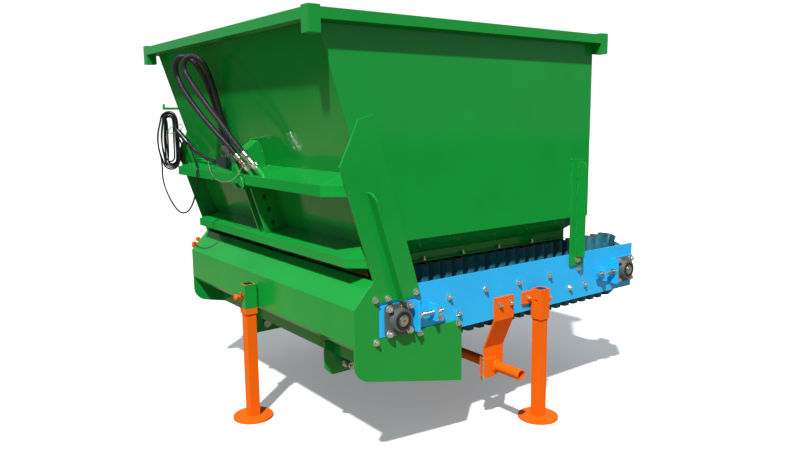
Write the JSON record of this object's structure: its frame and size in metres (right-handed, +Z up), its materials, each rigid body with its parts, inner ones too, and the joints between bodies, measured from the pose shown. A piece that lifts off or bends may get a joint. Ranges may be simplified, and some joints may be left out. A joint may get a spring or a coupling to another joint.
{
  "type": "tractor-mounted manure spreader",
  "caption": "Three-point-mounted manure and compost spreader: a square hopper over a moving rubber belt with corrugated edges, front hood, mast, link pins and parking legs.",
  "frame": {"origin": "middle of the machine's own box at ground level", "axes": "+Z up; -Y towards the tractor; +Y towards the rear, along the belt; +X towards the machine's left"},
  "size_m": [1.9139, 2.1248, 1.816],
  "materials": {
    "green_paint": "gloss",
    "blue_paint": "gloss",
    "orange_paint": "gloss",
    "belt_rubber": "matte",
    "seal_rubber": "matte",
    "bright_steel": "satin",
    "drum_steel": "satin",
    "cast_grey": "satin",
    "hose_sleeve": "matte",
    "cable_rubber": "satin",
    "zinc_plate": "satin"
  },
  "bodies": {
    "frame": {"bearing_carriers": "blue_paint", "bearings": "cast_grey", "belt": "belt_rubber", "belt_bed": "blue_paint", "cable_coil": "cable_rubber", "cable_connector": "cable_rubber", "cable_drop": "cable_rubber", "cable_hook": "green_paint", "cable_lead": "cable_rubber", "cable_plug": "cable_rubber", "conveyor_side_left": "blue_paint", "conveyor_side_right": "blue_paint", "coupler_rests": "green_paint", "cross_tube": "orange_paint", "drive_motor": "cast_grey", "dust_wire": "zinc_plate", "feed_sleeve": "hose_sleeve", "front_drum": "drum_steel", "front_seal": "seal_rubber", "gate_guides": "green_paint", "hitch_beam": "green_paint", "hitch_bracket_left": "green_paint", "hitch_bracket_right": "green_paint", "hood": "green_paint", "hopper_front": "green_paint", "hopper_rear": "green_paint", "hopper_side_left": "green_paint", "hopper_side_right": "green_paint", "hose_block": "cast_grey", "hose_far": "hose_sleeve", "hose_near": "hose_sleeve", "leg_socket_front": "green_paint", "leg_socket_rear_left": "orange_paint", "leg_socket_rear_right": "orange_paint", "lock_pins": "bright_steel", "lower_beam": "green_paint", "lower_link_pins": "bright_steel", "mast_lid": "green_paint", "mast_plates": "green_paint", "plug_lead": "cable_rubber", "quick_couplers": "zinc_plate", "rear_drum": "drum_steel", "rear_post_left": "green_paint", "rear_post_right": "green_paint", "rim_frame": "green_paint", "seal_strips": "seal_rubber", "side_plate_left": "green_paint", "side_plate_right": "green_paint", "take_up_ears": "blue_paint", "take_up_screws": "bright_steel", "tube_arm_left": "orange_paint", "tube_arm_right": "orange_paint", "upper_beam": "green_paint"},
    "leg_front": {"leg_front": "orange_paint"},
    "leg_rear_left": {"leg_rear_left": "orange_paint"},
    "leg_rear_right": {"leg_rear_right": "orange_paint"},
    "rear_gate": {"rear_gate": "green_paint"}
  },
  "joints": [
    {"name": "front_leg_slide", "type": "slide", "parent": "frame", "child": "leg_front", "axis": [0, 0, -1], "range_m": [0, 0.1]},
    {"name": "rear_leg_left_slide", "type": "slide", "parent": "frame", "child": "leg_rear_left", "axis": [0, 0, -1], "range_m": [0, 0.1]},
    {"name": "rear_leg_right_slide", "type": "slide", "parent": "frame", "child": "leg_rear_right", "axis": [0, 0, -1], "range_m": [0, 0.1]},
    {"name": "rear_gate_slide", "type": "slide", "parent": "frame", "child": "rear_gate", "axis": [0, 0, 1], "range_m": [0, 0.16]}
  ]
}
